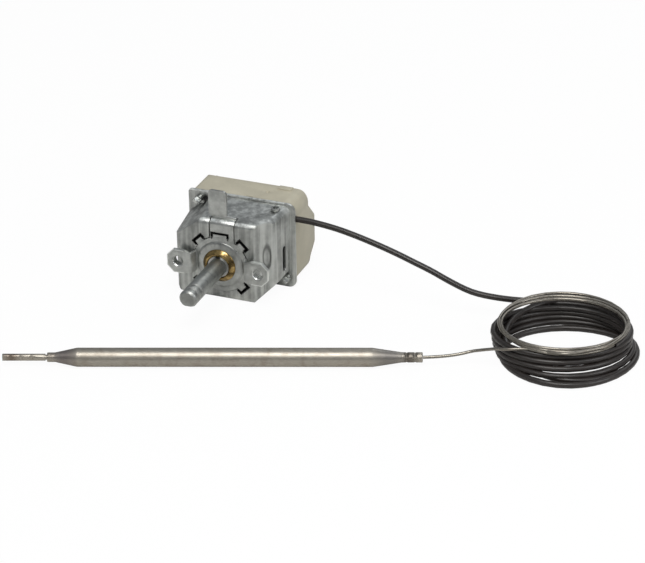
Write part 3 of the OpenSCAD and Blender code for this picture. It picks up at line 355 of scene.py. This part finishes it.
def zinc_sheet(name, colour, grain=1.0, rough=0.42, cover=False):
    """Zinc plated pressed steel: cloudy patches, rubbed spots and scratches, and a painted highlight
    on the upper front edge; on the cover also a painted highlight on the top rim, painted shade
    round the pressed oval, a painted shadow beside the upper stud and painted dark gaps round
    the tongues; on the bracket painted dark gaps round its tongues, painted shade at the edge of
    its dish, ears' rims painted lighter as a highlight with edge wear and painted threads in the
    ear holes."""
    kit = Finish(name)
    cloud = kit.noise(260, 4, 0.6)
    fine = kit.noise(1900, 3, 0.6)
    streak = kit.noise(900, 2, 0.5, at=kit.place((1, 1, 0.12), (0.3, 0.1, 0.5)))
    shade = kit.mix(kit.ramp(cloud, (0.32, 0.0), (0.68, 1.0)), tint(colour, 0.72),
                    tint(colour, 1.24))
    shade = kit.mix(kit.ramp(streak, (0.60, 0.0), (0.74, 0.35)), shade, tint(colour, 0.66))
    rub = kit.ramp(kit.noise(620, 4, 0.7, warp=0.4), (0.60, 0.0), (0.70, 1.0))
    shade = kit.mix(rub * 0.30, shade, tint(colour, 1.5))
    x, y, z = kit.places()
    # painted highlight: a patchy bright band along the rounded upper front edge
    bend = ((y - FRONT_EDGE[0]) * (y - FRONT_EDGE[0])
            + (z - FRONT_EDGE[1]) * (z - FRONT_EDGE[1])).root()
    patchy = kit.ramp(kit.noise(520, 3, 0.6), (0.38, 0.25), (0.56, 1.0))
    shade = kit.mix(kit.band(bend, 0, 0.85 * MM) * patchy, shade, tint(colour, 2.2))
    along = (x.size() + z.size()) * math.sqrt(0.5)
    across = (z.size() - x.size()) * math.sqrt(0.5)
    slanting = (along - TONGUE_REACH).over(across.size() - TONGUE_HALF)
    # near black, used only for painted shade and painted shadow
    painted_black = tint(colour, 0.05)
    if cover:
        drawn = kit.noise(620, 3, 0.55, at=kit.place((1, 1, 0.04)))
        shade = kit.mix(kit.ramp(drawn, (0.38, 0.45), (0.50, 0.0)), shade, tint(colour, 0.56))
        shade = kit.mix(kit.ramp(drawn, (0.50, 0.0), (0.62, 0.55)), shade, tint(colour, 1.6))
        # painted highlight: a patchy bright line just under the flange's top rim
        flange_highlight = kit.ramp((z - FLANGE_TOP) * 1500 + 1, (0.0, 0.0), (0.7, 0.9))
        shade = kit.mix(flange_highlight * patchy, shade, tint(colour, 2.4))
        turn = -math.radians(OVAL_TURN)
        across = kit.add("ShaderNodeSeparateXYZ", {}, {0: kit.place(turn=(0, 0, turn))})
        middle = OVAL_AT[0] * math.cos(turn) - OVAL_AT[1] * math.sin(turn)
        wide = (across - middle) * (1 / OVAL_HALF[0])
        tall = (z - OVAL_AT[2]) * (1 / OVAL_HALF[1])
        # painted shade: a darker ring round the pressed oval
        grime_and_shade = kit.ramp((wide * wide + tall * tall) * 0.5,
                         (0.16, 0.0), (0.40, 1.0), (0.60, 1.0), (1.0, 0.0))
        shade = kit.mix(grime_and_shade * 0.8, shade, tint(colour, 0.30))
        # painted shadow: near black on the flange beside the upper stud
        near = ((x - STUD_SHADOW[0]) * (x - STUD_SHADOW[0])
                + (z - STUD_SHADOW[1]) * (z - STUD_SHADOW[1])).root()
        deep = kit.ramp(y * 50, (0.60, 0.0), (0.75, 1.0))
        shade = kit.mix(kit.band(near, 0, 1.9 * MM, 0.5) * deep * 0.9, shade, painted_black)
        # painted shade: dark gap lines on the cover beyond the bracket's slanting tongues
        lip = kit.band(slanting, 0.65 * MM, 0.24 * MM)
        shade = kit.mix(lip * kit.ramp((along - TONGUE_ROOT) * 3000, (0.0, 0.0), (0.3, 1.0)),
                        shade, painted_black)
    else:
        # painted shade: dark gap lines round the slanting and the upper tongues
        lip = kit.band(slanting, 0, 0.30 * MM)
        shade = kit.mix(lip * kit.ramp((along - TONGUE_ROOT) * 3000, (0.0, 0.0), (0.3, 1.0)),
                        shade, painted_black)
        upper = (z - TOP_TONGUE_REACH).over(x.size() - TOP_TONGUE_HALF)
        lip = kit.band(upper, 0.27 * MM, 0.56 * MM)
        shade = kit.mix(lip * kit.ramp((z - TOP_TONGUE_ROOT) * 3000, (0.0, 0.0), (0.3, 1.0)),
                        shade, painted_black)
        # painted shade: a darker ring at the edge of the ring plate's dish
        ring = kit.band((x * x + z * z).root(), DISH_EDGE, 0.5 * MM)
        shade = kit.mix(ring * 0.30, shade, tint(colour, 0.30))
        # ears' rims painted lighter: a painted highlight along the edges, with edge wear
        rim = ((x.size() - EAR_END).over(z.size() - EAR_HALF)).over(
            (x.size() + z.size() - EAR_CORNER) * math.sqrt(0.5))
        ear = kit.ramp((x.size() - EAR_ROOT) * 3000, (0.0, 0.0), (0.5, 1.0))
        shade = kit.mix(kit.band(rim, 0, 0.38 * MM) * ear, shade, tint(colour, 1.6))
        # painted threads in the ear holes: painted highlights on the crests, painted shade in the grooves
        out = x.size() - EAR_HOLE
        inside = kit.ramp(((out * out + z * z).root() - THREAD_RADIUS) * -5000 + 0.5,
                          (0.0, 0.0), (1.0, 1.0))
        crest = kit.ramp((y * (2 * math.pi / THREAD_PITCH)).sine() * 0.5 + 0.5,
                         (0.35, 0.0), (0.60, 1.0))
        shade = kit.mix(inside, shade, kit.mix(crest, painted_black, tint(colour, 2.3)))
    return kit.use(
        Base_Color=shade, Metallic=0.92,
        Roughness=rough + (cloud - 0.5) * 0.22 + (fine - 0.5) * 0.14 - rub * 0.08,
        Normal=kit.bump(cloud * 0.7 + fine * 0.3, 0.34 * grain, 0.00006))


def machined(name, colour, rough, axis="Y", clean=0.5, dark=0.42,
             stained=(0.50, 0.72)):
    """Turned metal with rings round an axis, a few stains and a bright bump."""
    kit = Finish(name)
    squeeze = {"X": (1, 0.05, 0.05), "Y": (0.05, 1, 0.05), "Z": (0.05, 0.05, 1)}[axis]
    rings = kit.noise(5200, 2, 0.6, at=kit.place(squeeze))
    stain = kit.noise(420, 4, 0.65, warp=0.3)
    dirt = kit.ramp(stain, (stained[0], 0.0), (stained[1], 1.0))
    shade = kit.mix(rings, tint(colour, 0.86), tint(colour, 1.14))
    shade = kit.mix(dirt * (1 - clean), shade, tint(colour, dark))
    return kit.use(Base_Color=shade, Metallic=1.0,
                   Roughness=rough + (rings - 0.5) * 0.16 + dirt * 0.12,
                   Normal=kit.bump(rings, 0.10, 0.00003))


def moulded(name, colour):
    """Moulded thermoset: speckled, slightly soiled, satin."""
    kit = Finish(name)
    speck = kit.noise(2600, 3, 0.6)
    patch = kit.noise(150, 4, 0.6)
    grime_and_shade = kit.ramp(kit.noise(480, 5, 0.7, warp=0.5), (0.60, 0.0), (0.78, 1.0))
    shade = kit.mix(kit.ramp(patch, (0.3, 0.0), (0.7, 1.0)), tint(colour, 0.92),
                    tint(colour, 1.07))
    shade = kit.mix(kit.ramp(speck, (0.62, 0.0), (0.74, 0.5)), shade, tint(colour, 0.78))
    shade = kit.mix(grime_and_shade * 0.22, shade, tint(colour, 0.60))
    return kit.use(Base_Color=shade, Roughness=0.52 + (patch - 0.5) * 0.12 + grime_and_shade * 0.1,
                   Normal=kit.bump(speck * 0.6 + patch * 0.4, 0.14, 0.00008))


def woven_sleeve(name, colour):
    """Varnished woven sleeve, with its weave along the tube's own map."""
    kit = Finish(name)
    uv = kit.add("ShaderNodeTexCoord", out=2)
    split = kit.add("ShaderNodeSeparateXYZ", {}, {0: uv})
    run = split
    ring = Wire(kit, split.socket.node.outputs[1])
    weave = (run * 5200 + ring * 37.7).sine() * (run * 5200 - ring * 37.7).sine()
    wear = kit.noise(340, 4, 0.6)
    shade = kit.mix(kit.ramp(wear, (0.35, 0.0), (0.7, 1.0)), tint(colour, 0.72),
                    tint(colour, 1.6))
    shade = kit.mix(kit.ramp(weave * 0.5 + 0.5, (0.0, 0.0), (1.0, 0.5)), shade,
                    tint(colour, 1.25))
    return kit.use(Base_Color=shade, Roughness=0.40 + (wear - 0.5) * 0.25,
                   Coat_Weight=0.12,
                   Normal=kit.bump(weave, 0.25, 0.00005))


def drawn_tube(name, colour, rough=0.34, turn=0.0, tinted=()):
    """Drawn stainless tube: long streaks along it and heat tint at the given stations."""
    kit = Finish(name)
    at = kit.place((0.04, 1, 1), (0, 0, -turn))
    streak = kit.noise(2600, 3, 0.6, at=at)
    broad = kit.noise(300, 4, 0.6)
    shade = kit.mix(streak, tint(colour, 0.78), tint(colour, 1.22))
    shade = kit.mix(kit.ramp(broad, (0.48, 0.0), (0.70, 0.5)), shade,
                    (colour[0] * 0.62, colour[1] * 0.56, colour[2] * 0.52))
    for centre, width, colours in tinted:
        along = kit.add("ShaderNodeSeparateXYZ", {}, {0: kit.place((1, 1, 1), (0, 0, -turn))})
        band = 1 - ((along - centre) / width).over((centre - along) / width)
        shade = kit.mix(kit.ramp(band, (0.0, 0.0), (0.8, 0.75)), shade, colours)
    return kit.use(Base_Color=shade, Metallic=1.0,
                   Roughness=rough + (streak - 0.5) * 0.18 + (broad - 0.5) * 0.12,
                   Normal=kit.bump(streak, 0.10, 0.00003))


# ---------------------------------------------------------------- hand tools


def deselect():
    if bpy.context.object and bpy.context.object.mode != "OBJECT":
        bpy.ops.object.mode_set(mode="OBJECT")
    for o in bpy.context.view_layer.objects:
        o.select_set(False)


def pick(piece):
    deselect()
    piece.select_set(True)
    bpy.context.view_layer.objects.active = piece


def edit_all(piece):
    pick(piece)
    bpy.ops.object.mode_set(mode="EDIT")
    bpy.ops.mesh.select_all(action="SELECT")


def done():
    bpy.ops.object.mode_set(mode="OBJECT")


def apply_modifier(piece, kind, **settings):
    pick(piece)
    made = piece.modifiers.new(kind.title(), kind)
    for key, value in settings.items():
        setattr(made, key, value)
    bpy.ops.object.modifier_apply(modifier=made.name)


def smooth(piece, degrees=32):
    pick(piece)
    bpy.ops.object.shade_smooth_by_angle(angle=math.radians(degrees))


def wear_material(piece, material):
    piece.data.materials.clear()
    piece.data.materials.append(material)


def from_cad(node, name, edge, steps=2, corner=32):
    """A merged copy of a CAD node with its sharp edges rounded, which stands for the node."""
    source = frame["nodes"][node]
    pick(source)
    bpy.ops.object.duplicate()
    piece = bpy.context.object
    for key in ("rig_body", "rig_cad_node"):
        del piece[key]
    piece.parent = None
    piece.name = piece.data.name = name
    piece.data.materials.clear()
    edit_all(piece)
    bpy.ops.mesh.remove_doubles(threshold=2e-6)
    bpy.ops.mesh.dissolve_limited(angle_limit=math.radians(0.4))
    done()
    if edge > 0:
        apply_modifier(piece, "BEVEL", width=edge, segments=steps, limit_method="ANGLE",
                       angle_limit=math.radians(corner), use_clamp_overlap=True,
                       harden_normals=False)
    smooth(piece)
    body = source["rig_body"]
    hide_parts(node)
    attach(piece, body)
    return piece


def ease(points, steps):
    """A smooth curve through the points, with a number of steps in each stretch."""
    made = []
    last = len(points) - 1
    for i in range(last):
        a, b = points[max(i - 1, 0)], points[i]
        c, d = points[i + 1], points[min(i + 2, last)]
        for k in range(steps):
            t = k / steps
            made.append(tuple(
                0.5 * (2 * q + (r - p) * t + (2 * p - 5 * q + 4 * r - s) * t * t
                       + (3 * q - p - 3 * r + s) * t ** 3)
                for p, q, r, s in zip(a, b, c, d)))
    made.append(tuple(points[last]))
    return made


def turns(table, per_turn=28):
    """Points of the coil from its table of turns, in mm."""
    made = []
    steps = max(4, round(per_turn / 4))
    along, across = math.cos(math.radians(COIL_TURN)), math.sin(math.radians(COIL_TURN))
    for turn, cx, cy, broad, deep, z in ease(table, steps):
        right = broad * math.sin(2 * math.pi * turn)
        back = deep * math.cos(2 * math.pi * turn)
        made.append((cx + right * along - back * across, cy + right * across + back * along,
                     max(z, LOWEST_TURN)))
    return made


def evenly(points, gap):
    """The same line with points an even gap apart, in metres."""
    line = [Vector(p) for p in points]
    places = [0.0]
    for a, b in zip(line, line[1:]):
        places.append(places[-1] + (b - a).length)
    count = max(2, round(places[-1] / gap))
    made, i = [], 0
    for k in range(count + 1):
        want = places[-1] * k / count
        while i < len(line) - 2 and places[i + 1] < want:
            i += 1
        span = places[i + 1] - places[i] or 1.0
        made.append(line[i].lerp(line[i + 1], (want - places[i]) / span))
    return made, places[-1]


def tube(name, path, radius, sides=16):
    """A closed tube along a path, with its own map: length along U, once round in V."""
    verts, faces, marks = [], [], []
    normal = Vector((0, 0, 1))
    run = 0.0
    for i, p in enumerate(path):
        ahead = (path[min(i + 1, len(path) - 1)] - path[max(i - 1, 0)]).normalized()
        normal = (normal - ahead * normal.dot(ahead)).normalized()
        side = ahead.cross(normal)
        run += (p - path[i - 1]).length if i else 0.0
        marks.append(run)
        for k in range(sides):
            a = 2 * math.pi * k / sides
            verts.append(p + radius * (math.cos(a) * normal + math.sin(a) * side))
    for i in range(len(path) - 1):
        for k in range(sides):
            n = (k + 1) % sides
            faces.append((i * sides + k, i * sides + n, (i + 1) * sides + n,
                          (i + 1) * sides + k))
    faces.append(tuple(range(sides))[::-1])
    top = (len(path) - 1) * sides
    faces.append(tuple(range(top, top + sides)))
    mesh = bpy.data.meshes.new(name)
    mesh.from_pydata(verts, [], faces)
    layer = mesh.uv_layers.new(name="UVMap")
    for face in mesh.polygons:
        flat = len(face.vertices) > 4
        for loop, v in zip(face.loop_indices, face.vertices):
            i, k = divmod(v, sides)
            around = 1.0 if k == 0 and not flat and face.vertices[0] % sides == sides - 1 else k / sides
            layer.data[loop].uv = (marks[i], around)
    mesh.validate()
    piece = bpy.data.objects.new(name, mesh)
    bpy.context.scene.collection.objects.link(piece)
    edit_all(piece)
    bpy.ops.mesh.normals_make_consistent(inside=False)
    done()
    smooth(piece, 50)
    return piece


# ---------------------------------------------------------------- operators


class THERMOSTAT_OT_stage(bpy.types.Operator):
    """Sets the pale floor, the soft lamps and the camera"""

    bl_idname = "thermostat.stage"
    bl_label = "Stage"

    def execute(self, context):
        lights = context.scene.thermostat_lights
        deselect()
        bpy.ops.mesh.primitive_plane_add(size=6, location=(0, 0, FLOOR_Z - 0.00005))
        floor = context.object
        floor.name = "floor"
        kit = Finish("pale_floor")
        path = kit.add("ShaderNodeLightPath", {}, {})
        seen = path.socket.node.outputs
        glow = kit.add("ShaderNodeEmission", {}, {"Color": (1, 1, 1), "Strength": 1.0})
        kit.use(Base_Color=kit.mix(Wire(kit, seen["Is Camera Ray"]), (0.78, 0.77, 0.75), (0.9, 0.9, 0.9)),
                Roughness=0.9, Specular_IOR_Level=0.0)
        shade = kit.add("ShaderNodeMixShader", {}, {
            0: Wire(kit, seen["Is Camera Ray"]) * 0.95,
            1: Wire(kit, kit.shader.outputs[0]), 2: glow})
        end = [n for n in kit.tree.nodes if n.type == "OUTPUT_MATERIAL"][0]
        kit.tree.links.new(shade.socket, end.inputs[0])
        wear_material(floor, kit.material)

        world = bpy.data.worlds.new("soft_surroundings")
        context.scene.world = world
        world.use_nodes = True
        tree = world.node_tree
        back = tree.nodes["Background"]
        ray = tree.nodes.new("ShaderNodeLightPath")
        coords = tree.nodes.new("ShaderNodeTexCoord")
        ramp = tree.nodes.new("ShaderNodeValToRGB")
        split = tree.nodes.new("ShaderNodeSeparateXYZ")
        tree.links.new(coords.outputs["Generated"], split.inputs[0])
        lift = tree.nodes.new("ShaderNodeMath")
        lift.operation = "MULTIPLY_ADD"
        lift.inputs[1].default_value = 0.5
        lift.inputs[2].default_value = 0.5
        tree.links.new(split.outputs["Z"], lift.inputs[0])
        tree.links.new(lift.outputs[0], ramp.inputs[0])
        stops = ramp.color_ramp.elements
        stops[0].position, stops[0].color = 0.40, (0.34, 0.33, 0.32, 1)
        stops[1].position, stops[1].color = 0.95, (0.95, 1.0, 1.06, 1)
        mix = tree.nodes.new("ShaderNodeMix")
        mix.data_type = "RGBA"
        tree.links.new(ray.outputs["Is Camera Ray"], mix.inputs[0])
        tree.links.new(ramp.outputs[0], mix.inputs[6])
        mix.inputs[7].default_value = (1, 1, 1, 1)
        tree.links.new(mix.outputs[2], back.inputs["Color"])
        level = tree.nodes.new("ShaderNodeMath")
        level.operation = "MULTIPLY_ADD"
        level.inputs[1].default_value = 1 - lights.sky_strength
        level.inputs[2].default_value = lights.sky_strength
        tree.links.new(ray.outputs["Is Camera Ray"], level.inputs[0])
        tree.links.new(level.outputs[0], back.inputs["Strength"])

        for name, place, size, power, colour in (
            ("key_lamp", (0.12, -0.34, 0.62), 0.36, lights.key_power, (1.0, 0.985, 0.95)),
            ("side_lamp", (0.60, -0.12, 0.32), 0.30, lights.side_power, (0.98, 0.99, 1.0)),
            ("back_lamp", (0.10, 0.50, 0.45), 0.36, lights.side_power * 0.6, (0.97, 0.99, 1.0)),
        ):
            lamp = bpy.data.lights.new(name, "AREA")
            lamp.shape = "SQUARE"
            lamp.size = size
            lamp.energy = power
            lamp.color = colour
            holder = bpy.data.objects.new(name, lamp)
            context.scene.collection.objects.link(holder)
            holder.location = place
            aim = Vector(VIEW_AIM) - Vector(place)
            holder.rotation_euler = aim.to_track_quat("-Z", "Y").to_euler()

        eye = bpy.data.cameras.new("camera")
        eye.lens = VIEW_LENS
        eye.sensor_width = 36
        eye.clip_start = 0.01
        camera = bpy.data.objects.new("camera", eye)
        context.scene.collection.objects.link(camera)
        ca, sa = math.cos(VIEW_AZIMUTH), math.sin(VIEW_AZIMUTH)
        ce, se = math.cos(VIEW_ELEVATION), math.sin(VIEW_ELEVATION)
        right, up = Vector((ca, sa, 0)), Vector((-sa * se, ca * se, ce))
        ahead = Vector((-sa * ce, ca * ce, -se))
        roll = Matrix.Rotation(VIEW_ROLL, 3, -ahead)
        right, up = roll @ right, roll @ up
        place = Vector(VIEW_AIM) - ahead * VIEW_DISTANCE
        turn = Matrix((right, up, -ahead)).transposed()
        camera.matrix_world = Matrix.Translation(place) @ turn.to_4x4()
        context.scene.camera = camera
        context.scene.view_settings.view_transform = "Standard"
        return {"FINISHED"}


class THERMOSTAT_OT_capillary(bpy.types.Operator):
    """Winds the sleeved and the bare capillary between the base and the bulb"""

    bl_idname = "thermostat.capillary"
    bl_label = "Capillary and coil"

    def execute(self, context):
        sizes = context.scene.thermostat_sizes
        finish = context.scene.thermostat_finish
        sleeve_r, tube_r = sizes.sleeve_diameter / 2, sizes.tube_diameter / 2
        lead = ease(LEAD + turns(SLEEVE_TURNS[:2], 4)[:2], 4)[:4 * len(LEAD) - 1]
        sleeved = lead + turns(SLEEVE_TURNS)
        path, length = evenly([tuple(c * MM for c in p) for p in sleeved], 2.2 * MM)
        piece = tube("capillary_sleeve", path, sleeve_r)
        wear_material(piece, woven_sleeve("woven_sleeve", finish.sleeve_colour))
        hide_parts("lead_sleeve", "cord_coil")
        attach(piece, HOUSING)

        bare = turns(BARE_TURNS)
        end = ease([bare[-2]] + [bare[-1]] + TAIL[::-1], 5)[5:]
        start = path[-1] - (path[-1] - path[-3]).normalized() * 0.8 * MM
        line = [tuple(start)] + [tuple(c * MM for c in p) for p in bare[1:-1] + end]
        thin, thin_length = evenly(line, 1.6 * MM)
        piece = tube("bare_capillary", thin, tube_r, 12)
        wear_material(piece, drawn_tube("drawn_capillary", tint(finish.stainless_colour, 0.62), 0.30))
        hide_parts("capillary_tail")
        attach(piece, HOUSING)
        return {"FINISHED"}


class THERMOSTAT_OT_cover(bpy.types.Operator):
    """Makes the pressed front cover"""

    bl_idname = "thermostat.cover"
    bl_label = "Front cover"

    def execute(self, context):
        finish = context.scene.thermostat_finish
        piece = from_cad("front_cover", "pressed_cover", finish.sheet_edge)
        wear_material(piece, zinc_sheet("cover_zinc", tint(finish.zinc_colour, 0.95), cover=True))
        return {"FINISHED"}


class THERMOSTAT_OT_bracket(bpy.types.Operator):
    """Makes the bracket with its ears, ring plate and earth tab"""

    bl_idname = "thermostat.bracket"
    bl_label = "Mounting bracket"

    def execute(self, context):
        finish = context.scene.thermostat_finish
        piece = from_cad("mounting_bracket", "ear_bracket", finish.sheet_edge)
        wear_material(piece, zinc_sheet("bracket_zinc", tint(finish.zinc_colour, 1.04), 0.7,
                                        0.36))
        return {"FINISHED"}


class THERMOSTAT_OT_shaft(bpy.types.Operator):
    """Makes the shaft and its brass bush"""

    bl_idname = "thermostat.shaft"
    bl_label = "Shaft and bush"

    def execute(self, context):
        finish = context.scene.thermostat_finish
        bush = from_cad("shaft_bush", "brass_bush", 0.08 * MM)
        wear_material(bush, machined("turned_brass", tint(finish.brass_colour, 1.08), 0.16, clean=0.05,
                                     dark=0.16, stained=(0.40, 0.62)))
        shaft = from_cad("shaft", "knob_shaft", 0.06 * MM)
        wear_material(shaft, machined("plated_shaft", tint(finish.zinc_colour, 0.88), 0.42))
        return {"FINISHED"}


class THERMOSTAT_OT_base(bpy.types.Operator):
    """Makes the moulded base and its rear cover"""

    bl_idname = "thermostat.base"
    bl_label = "Moulded base"

    def execute(self, context):
        finish = context.scene.thermostat_finish
        cream = moulded("moulded_cream", finish.cream_colour)
        for node, name in (("base", "moulded_base"), ("rear_cover", "switch_lid")):
            piece = from_cad(node, name, 0.18 * MM)
            wear_material(piece, cream)
        return {"FINISHED"}


class THERMOSTAT_OT_fixings(bpy.types.Operator):
    """Makes the corner studs and the rivet"""

    bl_idname = "thermostat.fixings"
    bl_label = "Studs and rivet"

    def execute(self, context):
        finish = context.scene.thermostat_finish
        bright = machined("bright_zinc", tint(finish.zinc_colour, 1.3), 0.26)
        dirty = machined("rivet_zinc", tint(finish.zinc_colour, 1.1), 0.30, "Z", 0.0, 0.08)
        for node, name, look in (("fixing_studs", "corner_studs", bright),
                                 ("cover_rivet", "wall_rivet", dirty)):
            piece = from_cad(node, name, 0.06 * MM)
            wear_material(piece, look)
        return {"FINISHED"}


class THERMOSTAT_OT_bulb(bpy.types.Operator):
    """Makes the bulb and its crimped filling tube"""

    bl_idname = "thermostat.bulb"
    bl_label = "Bulb"

    def execute(self, context):
        finish = context.scene.thermostat_finish
        turn = math.radians(BULB_TURN)
        steel = drawn_tube("drawn_bulb", tint(finish.stainless_colour, 0.92), 0.44, turn,
                           HEAT_TINT)
        for node, name in (("bulb", "sensing_bulb"), ("fill_tube", "crimped_tube")):
            piece = from_cad(node, name, 0.08 * MM)
            wear_material(piece, steel)
        return {"FINISHED"}


class THERMOSTAT_OT_inside(bpy.types.Operator):
    """Gives the inner works and the terminals their finishes"""

    bl_idname = "thermostat.inside"
    bl_label = "Inner works"

    def execute(self, context):
        finish = context.scene.thermostat_finish
        brass = machined("terminal_brass", tint(finish.brass_colour, 1.1), 0.30)
        steel = machined("plain_steel", (0.42, 0.42, 0.41), 0.34)
        copper = machined("spring_copper", (0.55, 0.30, 0.16), 0.30)
        silver = machined("contact_silver", (0.75, 0.74, 0.72), 0.22)
        glazed = moulded("glazed_ceramic", (0.78, 0.77, 0.73))
        given = (
            (brass, ("feed_terminal", "load_terminal", "terminal_rivets",
                     "calibration_screw", "spindle", "spindle_nut")),
            (steel, ("retaining_ring", "thrust_washer", "stop_disc", "shaft_clip",
                     "stop_pin", "spindle_yoke", "capsule_front", "capsule_rear",
                     "capsule_button", "capillary_stub", "capsule_spring",
                     "capillary_inner")),
            (copper, ("contact_spring",)),
            (silver, ("moving_contact", "fixed_contact")),
            (glazed, ("push_pin",)),
        )
        for material, nodes in given:
            for node in nodes:
                wear_material(frame["nodes"][node], material)
        return {"FINISHED"}


class THERMOSTAT_PT_panel(bpy.types.Panel):
    """Lists the thermostat's sizes, finishes and building steps"""

    bl_idname = "THERMOSTAT_PT_panel"
    bl_label = "Thermostat"
    bl_space_type = "VIEW_3D"
    bl_region_type = "UI"
    bl_category = "Thermostat"

    def draw(self, context):
        layout = self.layout
        for group in (context.scene.thermostat_sizes, context.scene.thermostat_finish,
                      context.scene.thermostat_lights):
            box = layout.box()
            for key in group.__annotations__:
                box.prop(group, key)
        for step in STEPS:
            layout.operator(step.bl_idname)


STEPS = (
    THERMOSTAT_OT_stage,
    THERMOSTAT_OT_capillary,
    THERMOSTAT_OT_cover,
    THERMOSTAT_OT_bracket,
    THERMOSTAT_OT_shaft,
    THERMOSTAT_OT_base,
    THERMOSTAT_OT_fixings,
    THERMOSTAT_OT_bulb,
    THERMOSTAT_OT_inside,
)
CLASSES = (CapillarySizes, SheetFinish, StageLights, *STEPS, THERMOSTAT_PT_panel)


def register():
    for made in CLASSES:
        bpy.utils.register_class(made)
    bpy.types.Scene.thermostat_sizes = PointerProperty(type=CapillarySizes)
    bpy.types.Scene.thermostat_finish = PointerProperty(type=SheetFinish)
    bpy.types.Scene.thermostat_lights = PointerProperty(type=StageLights)


def unregister():
    del bpy.types.Scene.thermostat_lights
    del bpy.types.Scene.thermostat_finish
    del bpy.types.Scene.thermostat_sizes
    for made in reversed(CLASSES):
        bpy.utils.unregister_class(made)


def main():
    register()
    for step in STEPS:
        group, name = step.bl_idname.split(".")
        getattr(getattr(bpy.ops, group), name)()


if __name__ == "__main__":
    main()
